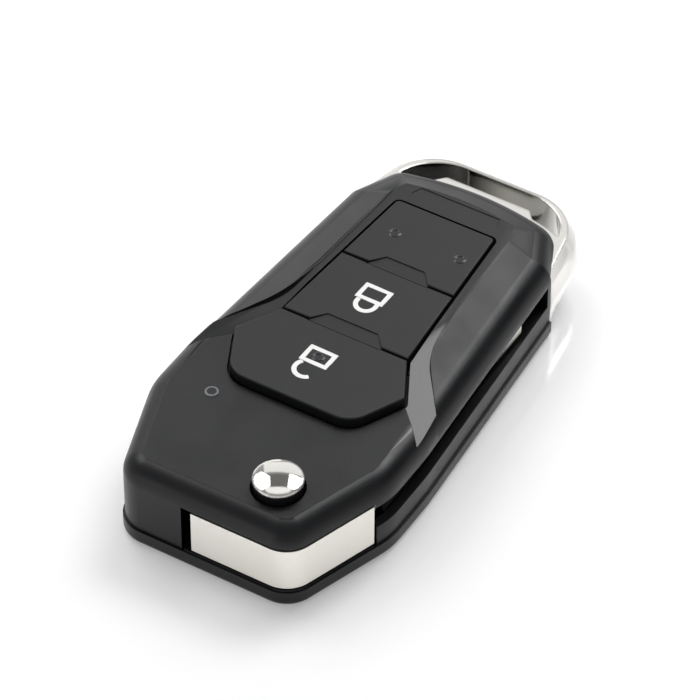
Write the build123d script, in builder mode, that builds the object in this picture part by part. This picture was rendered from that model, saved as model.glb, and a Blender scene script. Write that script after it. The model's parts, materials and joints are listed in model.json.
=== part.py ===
"""Folding remote key for a car: case, chrome frame, button pad, board, cell, and a key head that swings out."""
import os
from math import atan2, cos, radians, sin, tan

from build123d import *

os.makedirs("parts", exist_ok=True)

# Case in plan: X across, Y from the front (blade end) to the key ring, Z up from the back
front_y = -40.0            # front wall
nose_corner_x = 13.7       # where the front wall meets the slanted shoulder
shoulder_x = 19.5          # half width at the widest
shoulder_y = -23.0         # front end of the widest stretch
waist_y = -13.5            # rear end of the widest stretch
cover_end_x = 16.8         # half width where the covers end and the chrome frame begins
cover_end_y = 25.6
rear_corner_x = 13.3       # rear corner of the covers, inside the chrome frame
rear_corner_y = 33.0
rear_y = 35.0              # crown of the covers' rear arc
nose_corner_r = 4.5
shoulder_r = 12.0
waist_r = 30.0
cover_end_r = 1.2
rear_corner_r = 4.0

# Case in height
floor_z = 1.6              # inside of the back
parting_z = 2.7            # seam between the covers on the left and at the front corner
ceiling_z = 12.7           # inside of the front
nose_z = 14.0              # flat of the nose
deck_z = 15.2              # channel round the button pad
edge_r = 3.2               # rounding of the nose's top edge
side_r = 3.8               # rounding of the top edge along the grips and the rear
wall = 1.6                 # case wall
upper_wall = 3.3           # from the case's side to the hollow beside the rounding
upper_wall_z = 11.1        # height where the hollow steps in
seam_gap = 0.1             # gap between case pieces that only meet
back_lip = 0.3             # how far the back cover stands proud
back_edge_r = 1.1          # rounding of the back cover's lower edge

# Side grips, and the polished facets in front of them
grip_slope = 21.0          # fall of a grip's face to the side, degrees
corner_slope = 23.0        # fall at the rear corners
bevel_slope = 25.0         # fall of the deck behind the pad
tangent_sink = 0.06        # how far a sloping face sits under the rounding that it runs into
grip_line = [(9.4, 34.0), (9.7, 27.9), (10.6, 7.5), (12.0, -0.6), (18.8, -9.8), (21.5, -13.0)]
grip_bend_r = 12.0         # bends in the grip's inner edge
grip_step = 0.4            # width of the small step along that edge
grip_step_z = 0.12
facet_rear_y = 7.5         # behind the line where the channel turns into the facet
facet_front = [(21.5, -18.0), (13.8, -10.1)]
facet_points = [(10.3, 4.0, 15.2), (13.8, -10.1, 13.95), (18.5, -10.0, 13.1)]

# Button pad, half widths at each row
pad_rear = (8.04, 24.47)
pad_middle = (10.13, -3.34)
pad_wide = (13.74, -10.09)
pad_front = (9.83, -18.09)
pad_front_r = 4.0
pad_corner_r = 0.7
pad_z = 15.45              # top of the caps
split_1_y = 10.97          # seam between the blank panel and the lock cap
split_2_y = -3.34          # seam between the lock cap and the unlock cap
pad_gap = 0.42             # gap round the caps
split_gap = 0.32           # gap between two caps
crease_rear = (6.5, 28.6)  # fine groove behind the pad, half widths at each row
crease_front = (8.0, 25.0)
crease_end_y = 26.8
crease_w = 0.3
crease_depth = 0.1
cap_edge_r = 0.25
cap_top = 1.3              # thickness of a cap's top
cap_side = 1.2             # thickness of a cap's skirt
cap_flange = 0.7           # how far a cap's flange reaches past its side
cap_flange_thick = 0.6
cap_travel = 0.4
cap_post_r = 1.6
ledge_middle_x = -0.5      # thumb recesses at the caps' front edges
blank_ledge_half = 4.9
lock_ledge_half = 5.9
ledge_taper = 1.8
ledge_depth = 2.1
ledge_tab = 0.25           # how far a recess reaches forward into the next cap
ledge_rear_sink = 0.15     # depth of the recess at its rear edge
ledge_front_sink = 0.3

# Blade's pivot, with the release button on it
pivot = (7.25, front_y + 7.6)
button_r = 3.58
button_top_z = 16.3
button_cap_thick = 1.3     # chrome cap; the moulded core is under it
button_edge = 0.45
core_r = 3.4
button_hole_r = 3.85
button_travel = 1.2
button_disc_r = 5.3
button_disc_thick = 1.4
stem_r = 1.7
post_r = 2.0
post_top_z = 4.8
running_gap = 0.05

# Key head, its round bay, and the blade's slot along the right side
bay_r = 13.25
bay_wall = 1.2
bay_low_z = 3.0
bay_high_z = 10.8
head_gap = 0.3             # head to the bay's floor
head_low_z = bay_low_z + head_gap
head_high_z = 10.4
head_reach = 13.0          # the head's furthest point from the pivot
head_left_x = -2.1         # left end of the head's outer face
hub_r = 8.6
pocket_r = 5.6             # pocket in the hub for the button's disc and the spring
pocket_floor_z = 4.1
neck_low_z = 6.6
neck_high_z = 9.7
neck_left_x = 6.6
neck_right_x = 17.0
neck_start = 4.0           # the neck's two ends, from the pivot
neck_end = 12.8
slot_low_z = 6.2
slot_high_z = 10.0
slot_end_y = 24.6
rim_start = 7.0            # front end of the back cover's raised rim, from the pivot
rim_wall = 1.4

# Blade
blade_left_x = 6.9
blade_right_x = 16.7
blade_low_z = 7.0
blade_high_z = 9.4
blade_tip_y = 20.0
blade_tip_cut = 2.6
tang_left_x = 8.7
tang_right_x = 14.9
tang_start = 6.0           # front end of the tang, from the pivot
fuller_w = 2.6
fuller_depth = 0.45
fuller_x = 11.8            # middle of the long groove in each face
pin_r = 0.8
pin_bore_r = 0.45
pin_from_pivot = 10.0

# Carrier, board and cell
carrier_low_z = 5.2
carrier_thick = 0.9
carrier_gap = 0.15         # carrier to the covers' walls
carrier_leg_r = 1.2
board_post_r = 1.0         # carrier's posts that pass the board and hold the mat up
board_posts = [(-9.0, -14.0), (-8.6, 17.5), (3.0, 19.5), (-13.4, -3.0)]
carrier_legs = [(-14.0, -14.0), (-13.2, 19.5), (11.5, 19.0), (12.0, -9.0), (2.5, 19.5)]
divider_x = 5.7            # left face of the wall beside the blade's bay
divider_thick = 0.6
bay_ceiling_z = 10.1       # underside of the wall over the blade
bay_end_y = 24.0           # wall across the bay's rear end, with its right end and thickness
bay_end_x = 13.5
bay_end_thick = 1.0
board_thick = 1.0
board_right_x = 5.5
board_front_y = -27.0
board_rear_y = 23.0
chip_at = (-8.6, -6.4)
chip_w = 6.0
chip_thick = 1.1
crystal_at = (-12.4, 3.6)
crystal_long = 8.0
crystal_w = 3.2
crystal_high = 2.4
coil_at = (-3.4, 13.0)
coil_long = 7.2
coil_core_w = 2.6
coil_winding_long = 4.6
coil_winding_w = 3.4
coil_high = 2.2
lamp_w = 1.6
lamp_high = 0.9
cell = (-5.2, 4.0)
cell_r = 10.0
cell_thick = 3.2
cell_gap = 0.15
cell_ring_wall = 1.0
cell_ring_top_z = 4.4
strip_thick = 0.3          # contact strips
strip_w = 3.0
strip_over = 4.0           # how far a strip reaches past the cell's middle
strip_set_in = 2.5         # from the cell's edge in to the upper strip's rise to the board
strip_tail = 3.0           # how far the lower strip reaches past the cell's edge
mat_low_z = 11.0
mat_thick = 0.5
mat_margin = 0.75
dome_r = 2.2
dome_rise = 0.4
switch_w = 4.5
switch_body = 3.1
switch_plunger_r = 1.0
unlock_switch_at = (0.0, -10.8)
lock_switch_at = (0.0, 3.8)
lens_ahead = 3.5           # lens in front of the pad's front edge
lens = (-10.3, pad_front[1] - lens_ahead)
lens_r = 1.0
lens_flange_r = 1.6

# Chrome frame
seat_depth = 0.5           # step in the covers that the frame wraps round
frame_gap = 0.25           # seam between the covers' step and the frame
loop_reach = 5.4           # how far it reaches past the covers' rear end
loop_wide_z = 5.8          # height where the frame is widest
loop_shoulder_z = 9.2      # height where it turns in to its crest
loop_low = (0.4, 13.8, 1.5, 7.0)      # set in at the seam, half width and set in at the rear, corner radius
loop_wide = (0.0, 15.5, 0.1, 7.0)
loop_shoulder = (0.15, 14.6, -0.1, 7.8)
loop_crest = (0.6, 13.2, 0.0, 8.5)
loop_window = (1.6, 12.0, 0.65, 8.2)
loop_side_z = 11.2         # top beside the covers
loop_bar_z = 11.0          # top of the bar between the covers and the window
loop_crest_z = 10.9        # top at the far bar
loop_low_z = 1.2           # underside beside the covers
loop_low_rear_z = 4.2      # underside at the far bar
bar_depth = 1.6            # from the covers' rear end to the window at its middle
bar_half = 6.9             # half width of the bar there
bar_flare = 1.4            # how much wider it is where it meets the covers
window_lining = 0.85       # chrome round the covers' rear end, beside the bar
window_r = 0.7             # bends at the bar's corners
window_end_r = 0.3
tongue_half = 9.0
tongue_low_z = 5.6
tongue_high_z = 9.4
tongue_end_y = 29.5

# Places that follow from the sizes above
cell_low_z = floor_z + strip_thick
cell_high_z = cell_low_z + cell_thick
board_low_z = carrier_low_z + carrier_thick
board_high_z = board_low_z + board_thick
mat_high_z = mat_low_z + mat_thick
flange_high_z = ceiling_z - seam_gap
flange_low_z = flange_high_z - cap_flange_thick
cap_post_z = mat_high_z + dome_rise + cap_travel + running_gap
disc_high_z = bay_high_z - seam_gap
disc_low_z = disc_high_z - button_disc_thick
stem_low_z = post_top_z + button_travel + 2 * seam_gap
arc_r = (rear_corner_x**2 + (rear_y - rear_corner_y) ** 2) / (2 * (rear_y - rear_corner_y))
side_centre_z = nose_z - side_r
bar_end_y = rear_y + bar_depth
neck_start_y = pivot[1] + neck_start
neck_end_y = pivot[1] + neck_end
rim_front_y = pivot[1] + rim_start
tang_end_y = pivot[1] + tang_start
pin_y = pivot[1] + pin_from_pivot
above = 3.0                # how far a cutter passes the surface that it cuts
far = 60.0                 # reach of a cutter past the whole case


def corners_at(sketch, x, y):
    """Returns the corners of a sketch at plus and minus x, at y."""
    return [v for v in sketch.vertices() if abs(abs(v.X) - x) < 0.01 and abs(v.Y - y) < 0.01]


def mirrored(points):
    """Returns points on the right side, followed by their mirror images in reverse order."""
    return points + [(-x, y) for x, y in reversed(points)]


def box_between(low, high):
    """Returns a box from its lowest to its highest corner."""
    size = [b - a for a, b in zip(low, high)]
    centre = [(a + b) / 2 for a, b in zip(low, high)]
    return Pos(*centre) * Box(*size, mode=Mode.PRIVATE)


with BuildSketch() as case_plan:
    with BuildLine():
        side = Polyline(
            (-nose_corner_x, front_y),
            (nose_corner_x, front_y),
            (shoulder_x, shoulder_y),
            (shoulder_x, waist_y),
            (cover_end_x, cover_end_y),
            (rear_corner_x, rear_corner_y),
        )
        ThreePointArc(side @ 1, (0, rear_y), (-rear_corner_x, rear_corner_y))
        Polyline(
            (-rear_corner_x, rear_corner_y),
            (-cover_end_x, cover_end_y),
            (-shoulder_x, waist_y),
            (-shoulder_x, shoulder_y),
            (-nose_corner_x, front_y),
        )
    make_face()
    fillet(corners_at(case_plan, nose_corner_x, front_y), nose_corner_r)
    fillet(corners_at(case_plan, shoulder_x, shoulder_y), shoulder_r)
    fillet(corners_at(case_plan, shoulder_x, waist_y), waist_r)
    fillet(corners_at(case_plan, cover_end_x, cover_end_y), cover_end_r)
    fillet(corners_at(case_plan, rear_corner_x, rear_corner_y), rear_corner_r)

with BuildSketch() as deck_plan:
    add(case_plan.sketch)
    offset(amount=-(side_r - 1.0))

with BuildSketch() as inner_plan:
    add(case_plan.sketch)
    offset(amount=-wall)

with BuildSketch() as upper_inner_plan:
    add(case_plan.sketch)
    offset(amount=-upper_wall)

with BuildSketch() as seat_plan:
    add(case_plan.sketch)
    offset(amount=-seat_depth)

with BuildSketch() as pad_plan:
    with BuildLine():
        Polyline(*mirrored([pad_rear, pad_middle, pad_wide, pad_front]), close=True)
    make_face()
    fillet(corners_at(pad_plan, *pad_front), pad_front_r)
    fillet(corners_at(pad_plan, *pad_rear), pad_corner_r)
    fillet(corners_at(pad_plan, *pad_wide), pad_corner_r)

# Band round the covers' rear end that the chrome frame fills
with BuildPart() as frame_seat:
    with BuildSketch():
        with Locations((0, cover_end_y + far / 2)):
            Rectangle(2 * far, far)
        add(seat_plan.sketch, mode=Mode.SUBTRACT)
    extrude(amount=loop_side_z + seam_gap)

# Planes of the sloping faces. The grips' run tangent into the rounding of the side wall.
side_lean = atan2(shoulder_x - cover_end_x, cover_end_y - waist_y)
side_out = (cos(side_lean), sin(side_lean))
corner_lean = atan2(cover_end_x - rear_corner_x, rear_corner_y - cover_end_y)
corner_out = (cos(corner_lean), sin(corner_lean))


def tangent_plane(x, y, out, slope, flip):
    """Returns the plane that slopes down along out and touches the rounding of the wall through x, y."""
    inset = side_r * (1 - sin(radians(slope)))
    z = side_centre_z + side_r * cos(radians(slope)) - tangent_sink
    origin = (flip * (x - out[0] * inset), y - out[1] * inset, z)
    normal = (flip * out[0] * sin(radians(slope)), out[1] * sin(radians(slope)), cos(radians(slope)))
    return Plane(origin=origin, z_dir=normal)


with BuildSketch() as grip_zone:
    with BuildLine():
        Polyline(*grip_line, (far, grip_line[-1][1]), (far, grip_line[0][1]), close=True)
    make_face()
    fillet(corners_at(grip_zone, *grip_line[2]) + corners_at(grip_zone, *grip_line[3]), grip_bend_r)
    mirror(about=Plane.YZ)

with BuildSketch() as grip_top_zone:
    add(grip_zone.sketch)
    offset(amount=-grip_step)

with BuildSketch() as crease_inside:
    with BuildLine():
        Polyline(*mirrored([crease_front, crease_rear]), close=True)
    make_face()
    offset(amount=-crease_w)

with BuildPart() as rear_bevel:
    touch_r = arc_r - side_r * (1 - sin(radians(bevel_slope)))
    touch_z = side_centre_z + side_r * cos(radians(bevel_slope)) - tangent_sink
    fall = tan(radians(bevel_slope))
    with BuildSketch(Plane(origin=(0, rear_y - arc_r, 0), x_dir=(1, 0, 0), z_dir=(0, -1, 0))):
        with BuildLine():
            Polyline(
                (touch_r - above / fall, touch_z + above),
                (touch_r + above, touch_z - above * fall),
                (touch_r + above, touch_z + above),
                close=True,
            )
        make_face()
    revolve(axis=Axis((0, rear_y - arc_r, 0), (0, 0, 1)))

with BuildPart() as deck:
    with BuildSketch(Plane.XY.offset(upper_wall_z)):
        add(deck_plan.sketch)
    extrude(amount=deck_z + above - upper_wall_z)
    for flip in (1, -1):
        split(bisect_by=tangent_plane(shoulder_x, waist_y, side_out, grip_slope, flip), keep=Keep.BOTTOM)
        rear_corner = tangent_plane(cover_end_x, cover_end_y, corner_out, corner_slope, flip)
        split(bisect_by=rear_corner, keep=Keep.BOTTOM)
    add(rear_bevel.part, mode=Mode.SUBTRACT)
    for zone, z in ((grip_zone, deck_z), (grip_top_zone, deck_z + grip_step_z)):
        with BuildSketch(Plane.XY.offset(z)):
            Rectangle(2 * far, 2 * far)
            add(zone.sketch, mode=Mode.SUBTRACT)
        extrude(amount=2 * above, mode=Mode.SUBTRACT)
    with BuildSketch(Plane.XY.offset(deck_z - crease_depth)):
        with BuildLine():
            Polyline(*mirrored([crease_front, crease_rear]), close=True)
        make_face()
        add(crease_inside.sketch, mode=Mode.SUBTRACT)
        with Locations((0, crease_end_y + far / 2)):
            Rectangle(far, far, mode=Mode.INTERSECT)
    extrude(amount=above, mode=Mode.SUBTRACT)
    with BuildSketch(Plane.XY.offset(nose_z)):
        with BuildLine():
            Polyline(*mirrored([facet_front[1], facet_front[0], (far, -far)]), close=True)
        make_face()
    extrude(amount=2 * above, mode=Mode.SUBTRACT)

facet_inner, facet_tip, facet_outer = [Vector(*point) for point in facet_points]
facet_plane = Plane(origin=facet_inner, z_dir=(facet_outer - facet_inner).cross(facet_inner - facet_tip))

with BuildPart() as facet_cut:
    with BuildSketch(Plane.XY.offset(slot_high_z)):
        with BuildLine():
            Polyline((9.0, facet_rear_y), (far, facet_rear_y), *facet_front, (9.0, -9.0), close=True)
        make_face()
        add(grip_zone.sketch, mode=Mode.SUBTRACT)
    extrude(amount=pad_z + above - slot_high_z)
    split(bisect_by=facet_plane, keep=Keep.TOP)

tongue_slot = box_between((-tongue_half, tongue_end_y, tongue_low_z), (tongue_half, far, tongue_high_z))

# Ground in front of the grips, where the case's edge has the nose's smaller rounding
with BuildPart() as nose_zone:
    with BuildSketch():
        with Locations((0, grip_line[3][1] - far / 2)):
            Rectangle(far, far)
        add(grip_zone.sketch, mode=Mode.SUBTRACT)
    extrude(amount=far)


def rounded_block(radius, zone_mode):
    """Returns the case up to the nose's height with its top edge rounded, in front of the grips or behind."""
    with BuildPart() as block:
        with BuildSketch(Plane.XY.offset(parting_z)):
            add(case_plan.sketch)
        extrude(amount=nose_z - parting_z)
        fillet(block.edges().group_by(Axis.Z)[-1], radius)
        add(nose_zone.part, mode=zone_mode)
    return block.part


# Front cover: the case's top and walls, open to the right along the blade's slot
with BuildPart() as front_cover:
    add(rounded_block(edge_r, Mode.INTERSECT))
    add(rounded_block(side_r, Mode.SUBTRACT))
    add(deck.part)
    add(facet_cut.part, mode=Mode.SUBTRACT)
    mirror(facet_cut.part, about=Plane.YZ, mode=Mode.SUBTRACT)
    # Hollow for the board, beside the round wall of the head's bay
    with BuildSketch(Plane.XY.offset(parting_z)):
        add(inner_plan.sketch)
        with Locations(pivot):
            Circle(bay_r + bay_wall, mode=Mode.SUBTRACT)
    extrude(amount=upper_wall_z - parting_z, mode=Mode.SUBTRACT)
    with BuildSketch(Plane.XY.offset(upper_wall_z)):
        add(upper_inner_plan.sketch)
        with Locations(pivot):
            Circle(bay_r + bay_wall, mode=Mode.SUBTRACT)
    extrude(amount=ceiling_z - upper_wall_z, mode=Mode.SUBTRACT)
    # Room for the caps' flanges and the mat, over the head's bay too
    with BuildSketch(Plane.XY.offset(bay_high_z + seam_gap)):
        add(pad_plan.sketch)
        offset(amount=seam_gap + mat_margin)
    extrude(amount=ceiling_z - bay_high_z - seam_gap, mode=Mode.SUBTRACT)
    with BuildSketch(Plane.XY.offset(ceiling_z)):
        add(pad_plan.sketch)
        offset(amount=pad_gap)
    extrude(amount=2 * above, mode=Mode.SUBTRACT)
    # Bay of the key head, and the blade's slot
    with BuildSketch(Plane.XY.offset(parting_z)):
        with Locations(pivot):
            Circle(bay_r)
    extrude(amount=bay_high_z - parting_z, mode=Mode.SUBTRACT)
    add(box_between((divider_x, pivot[1], 0), (far, slot_end_y, slot_high_z)), mode=Mode.SUBTRACT)
    with BuildSketch(Plane.XY):
        with Locations(pivot):
            Circle(button_hole_r)
        with Locations(lens):
            Circle(lens_r)
    extrude(amount=far, mode=Mode.SUBTRACT)
    # Step for the chrome frame, and the slot for its tongue
    add(frame_seat.part, mode=Mode.SUBTRACT)
    add(tongue_slot, mode=Mode.SUBTRACT)
front_cover.part.label = "front_cover"
export_step(front_cover.part, "parts/front_cover.step")

# Back cover: floor, proud lip, raised rim under the slot, pivot post and cell ring
with BuildPart() as back_cover:
    with BuildSketch():
        add(case_plan.sketch)
        offset(amount=back_lip)
    extrude(amount=parting_z)
    fillet(back_cover.edges().group_by(Axis.Z)[0], back_edge_r)
    split(bisect_by=Plane.XZ.offset(-cover_end_y), keep=Keep.TOP)
    with BuildSketch():
        add(case_plan.sketch)
        with Locations((0, cover_end_y + far / 2 - 1)):
            Rectangle(far, far, mode=Mode.INTERSECT)
    extrude(amount=parting_z)
    with BuildSketch(Plane.XY.offset(floor_z)):
        add(inner_plan.sketch)
    extrude(amount=far, mode=Mode.SUBTRACT)
    add(frame_seat.part, mode=Mode.SUBTRACT)
    # Floor of the head's bay, and the rim under the head
    with BuildSketch(Plane.XY.offset(floor_z)):
        add(case_plan.sketch)
        with Locations(pivot):
            Circle(bay_r - head_gap, mode=Mode.INTERSECT)
    extrude(amount=bay_low_z - floor_z)
    with BuildSketch(Plane.XY.offset(floor_z)):
        add(case_plan.sketch)
        offset(amount=-rim_wall, mode=Mode.SUBTRACT)
        with Locations((far / 2, (rim_front_y + slot_end_y) / 2)):
            Rectangle(far, slot_end_y - rim_front_y, mode=Mode.INTERSECT)
        with Locations(pivot):
            Circle(bay_r, mode=Mode.SUBTRACT)
    extrude(amount=slot_low_z - floor_z)
    with BuildSketch(Plane.XY.offset(floor_z)):
        with Locations(pivot):
            Circle(post_r)
    extrude(amount=post_top_z - floor_z)
    with BuildSketch(Plane.XY.offset(floor_z)):
        with Locations(cell):
            Circle(cell_r + cell_gap + cell_ring_wall)
            Circle(cell_r + cell_gap, mode=Mode.SUBTRACT)
            Rectangle(strip_w + 1, far, mode=Mode.SUBTRACT)
    extrude(amount=cell_ring_top_z - floor_z)
back_cover.part.label = "back_cover"
export_step(back_cover.part, "parts/back_cover.step")

# Chrome frame: wraps the covers' rear end, with the window for a key ring
def frame_outline(z, seam_in, corner_x, rear_in, corner_r):
    """Returns the frame's outline at a height, from the seam with the covers to its rounded rear corners."""
    end_y = rear_y + loop_reach - rear_in
    with BuildSketch(Plane.XY.offset(z)) as outline:
        with BuildLine():
            Polyline(*mirrored([(cover_end_x - seam_in, cover_end_y), (corner_x, end_y)]), close=True)
        make_face()
        fillet(corners_at(outline, corner_x, end_y), corner_r)
    return outline.sketch


with BuildSketch() as window_plan:
    add(frame_outline(0, *loop_window))
    with BuildSketch(mode=Mode.PRIVATE) as lined_covers:
        add(case_plan.sketch)
        offset(amount=window_lining)
    add(lined_covers.sketch, mode=Mode.SUBTRACT)
    with BuildLine():
        foot = bar_half + bar_flare
        Polyline(*mirrored([(foot, rear_corner_y), (foot, rear_y), (bar_half, bar_end_y)]), close=True)
    make_face(mode=Mode.SUBTRACT)
    with Locations((0, rear_corner_y + far / 2)):
        Rectangle(far, far, mode=Mode.INTERSECT)
    fillet(corners_at(window_plan, bar_half, bar_end_y), window_r)
    fillet(window_plan.vertices().group_by(Axis.Y)[0], window_end_r)

with BuildPart() as loop_frame:
    add(frame_outline(loop_low_z, *loop_low))
    add(frame_outline(loop_wide_z, *loop_wide))
    loft(ruled=True)
    add(frame_outline(loop_wide_z, *loop_wide))
    add(frame_outline(loop_shoulder_z, *loop_shoulder))
    loft(ruled=True)
    add(frame_outline(loop_shoulder_z, *loop_shoulder))
    add(frame_outline(loop_crest_z, *loop_crest))
    loft(ruled=True)
    add(frame_outline(loop_crest_z, *loop_crest))
    extrude(amount=above)
    with BuildSketch(Plane.YZ.offset(-far / 2)):
        with BuildLine():
            Polyline(
                (cover_end_y + frame_gap, loop_low_z),
                (bar_end_y, loop_low_rear_z - 0.6),
                (rear_y + loop_reach + 1, loop_low_rear_z),
                (rear_y + loop_reach + 1, loop_crest_z),
                (bar_end_y, loop_bar_z),
                (cover_end_y + frame_gap, loop_side_z),
                close=True,
            )
        make_face()
    extrude(amount=far, mode=Mode.INTERSECT)
    with BuildSketch():
        add(seat_plan.sketch)
    extrude(amount=far, mode=Mode.SUBTRACT)
    add(box_between((-tongue_half, tongue_end_y, tongue_low_z), (tongue_half, rear_y, tongue_high_z)))
    with BuildSketch():
        add(window_plan.sketch)
    extrude(amount=far, mode=Mode.SUBTRACT)
loop_frame.part.label = "loop_frame"
export_step(loop_frame.part, "parts/loop_frame.step")

# Caps of the button pad: one outline, cut across at the two seams
with BuildSketch() as pad_hollow_plan:
    add(pad_plan.sketch)
    offset(amount=-cap_side)

with BuildSketch() as flange_plan:
    add(pad_plan.sketch)
    offset(amount=cap_flange)


def band(low_y, high_y):
    """Returns a strip across the case from one y to another."""
    with BuildSketch() as strip:
        with Locations((0, (low_y + high_y) / 2)):
            Rectangle(far, high_y - low_y)
    return strip.sketch


def cap(low_y, high_y, flange_top_z):
    """Returns a hollow cap of the pad between two rows, with its flange."""
    with BuildPart() as body:
        with BuildSketch(Plane.XY.offset(flange_low_z)):
            add(pad_plan.sketch)
            add(band(low_y, high_y), mode=Mode.INTERSECT)
        extrude(amount=pad_z - flange_low_z)
        fillet(body.edges().group_by(Axis.Z)[-1], cap_edge_r)
        with BuildSketch(Plane.XY.offset(flange_low_z)):
            add(flange_plan.sketch)
            add(band(low_y, high_y), mode=Mode.INTERSECT)
        extrude(amount=flange_top_z - flange_low_z)
        with BuildSketch(Plane.XY.offset(flange_low_z)):
            add(pad_hollow_plan.sketch)
            add(band(low_y + cap_side, high_y - cap_side), mode=Mode.INTERSECT)
        extrude(amount=pad_z - cap_top - flange_low_z, mode=Mode.SUBTRACT)
    return body.part


def ledge_plan(front_edge_y, half, margin):
    """Returns the outline of the recess at a cap's front edge, which reaches a little into the next cap."""
    front = (half - ledge_tab, front_edge_y - ledge_tab)
    rear = (half - ledge_taper, front_edge_y + ledge_depth)
    with BuildSketch() as outline:
        with Locations((ledge_middle_x, 0)):
            with BuildLine():
                Polyline(*mirrored([front, (half, front_edge_y), rear]), close=True)
            make_face()
        offset(amount=margin)
    return outline.sketch


def ledge_tongue(front_edge_y, half):
    """Returns the part of a cap that reaches into the next one, up to the cap's top."""
    with BuildPart() as tongue:
        with BuildSketch(Plane.XY.offset(pad_z - cap_top)):
            add(ledge_plan(front_edge_y, half, 0))
        extrude(amount=cap_top)
    return tongue.part


def ledge_sink(front_edge_y, half):
    """Returns the space over the recess's floor, which slopes down to the front."""
    with BuildPart() as space:
        with BuildSketch(Plane.YZ.offset(-far / 2)):
            with BuildLine():
                Polyline(
                    (front_edge_y - 2 * ledge_tab, pad_z - ledge_front_sink),
                    (front_edge_y - 2 * ledge_tab, pad_z + above),
                    (front_edge_y + ledge_depth, pad_z + above),
                    (front_edge_y + ledge_depth, pad_z - ledge_rear_sink),
                    close=True,
                )
            make_face()
        extrude(amount=far)
        with BuildSketch(Plane.XY.offset(pad_z - 2 * ledge_front_sink)):
            add(ledge_plan(front_edge_y, half, 0))
        extrude(amount=far, mode=Mode.INTERSECT)
    return space.part


def ledge_notch(front_edge_y, half):
    """Returns the room in the next cap for the part that reaches into it."""
    with BuildPart() as room:
        with BuildSketch(Plane.XY.offset(flange_high_z)):
            add(ledge_plan(front_edge_y, half, split_gap))
        extrude(amount=far)
    return room.part


half_gap = split_gap / 2
with BuildPart() as blank_panel:
    add(cap(split_1_y + half_gap, pad_rear[1], ceiling_z))
    add(ledge_tongue(split_1_y + half_gap, blank_ledge_half))
    add(ledge_sink(split_1_y + half_gap, blank_ledge_half), mode=Mode.SUBTRACT)
blank_panel.part.label = "blank_panel"
export_step(blank_panel.part, "parts/blank_panel.step")

with BuildPart() as lock_button:
    add(cap(split_2_y + half_gap, split_1_y - half_gap, flange_high_z))
    add(ledge_tongue(split_2_y + half_gap, lock_ledge_half))
    add(ledge_sink(split_2_y + half_gap, lock_ledge_half), mode=Mode.SUBTRACT)
    add(ledge_notch(split_1_y + half_gap, blank_ledge_half), mode=Mode.SUBTRACT)
    with BuildSketch(Plane.XY.offset(cap_post_z)):
        with Locations(lock_switch_at):
            Circle(cap_post_r)
    extrude(amount=pad_z - cap_top - cap_post_z)
lock_button.part.label = "lock_button"
export_step(lock_button.part, "parts/lock_button.step")

with BuildPart() as unlock_button:
    add(cap(pad_front[1], split_2_y - half_gap, flange_high_z))
    add(ledge_notch(split_2_y + half_gap, lock_ledge_half), mode=Mode.SUBTRACT)
    with BuildSketch(Plane.XY.offset(cap_post_z)):
        with Locations(unlock_switch_at):
            Circle(cap_post_r)
    extrude(amount=pad_z - cap_top - cap_post_z)
unlock_button.part.label = "unlock_button"
export_step(unlock_button.part, "parts/unlock_button.step")

# Clear rod between the lamp on the board and the nose
lens_top_z = nose_z + 0.15
with BuildPart() as indicator_lens:
    with BuildSketch(Plane.XY.offset(board_high_z + 1.2)):
        with Locations(lens):
            Circle(lens_r)
    extrude(amount=lens_top_z - board_high_z - 1.2)
    with BuildSketch(Plane.XY.offset(ceiling_z - 0.8)):
        with Locations(lens):
            Circle(lens_flange_r)
    extrude(amount=0.8)
indicator_lens.part.label = "indicator_lens"
export_step(indicator_lens.part, "parts/indicator_lens.step")

# Release button: chrome cap on a moulded core, whose disc rides in the head's pocket round the spring
with BuildPart() as release_button:
    with BuildSketch(Plane.XY.offset(button_top_z - button_cap_thick)):
        with Locations(pivot):
            Circle(button_r)
    extrude(amount=button_cap_thick)
    fillet(release_button.edges().group_by(Axis.Z)[-1], button_edge)
release_button.part.label = "release_button"
export_step(release_button.part, "parts/release_button.step")

with BuildPart() as button_core:
    with BuildSketch(Plane.XY.offset(disc_low_z)):
        with Locations(pivot):
            Circle(core_r)
    extrude(amount=button_top_z - button_cap_thick - disc_low_z)
    with BuildSketch(Plane.XY.offset(disc_low_z)):
        with Locations(pivot):
            Circle(button_disc_r)
    extrude(amount=button_disc_thick)
    with BuildSketch(Plane.XY.offset(stem_low_z)):
        with Locations(pivot):
            Circle(stem_r)
    extrude(amount=disc_low_z - stem_low_z)
button_core.part.label = "button_core"
export_step(button_core.part, "parts/button_core.step")

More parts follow.
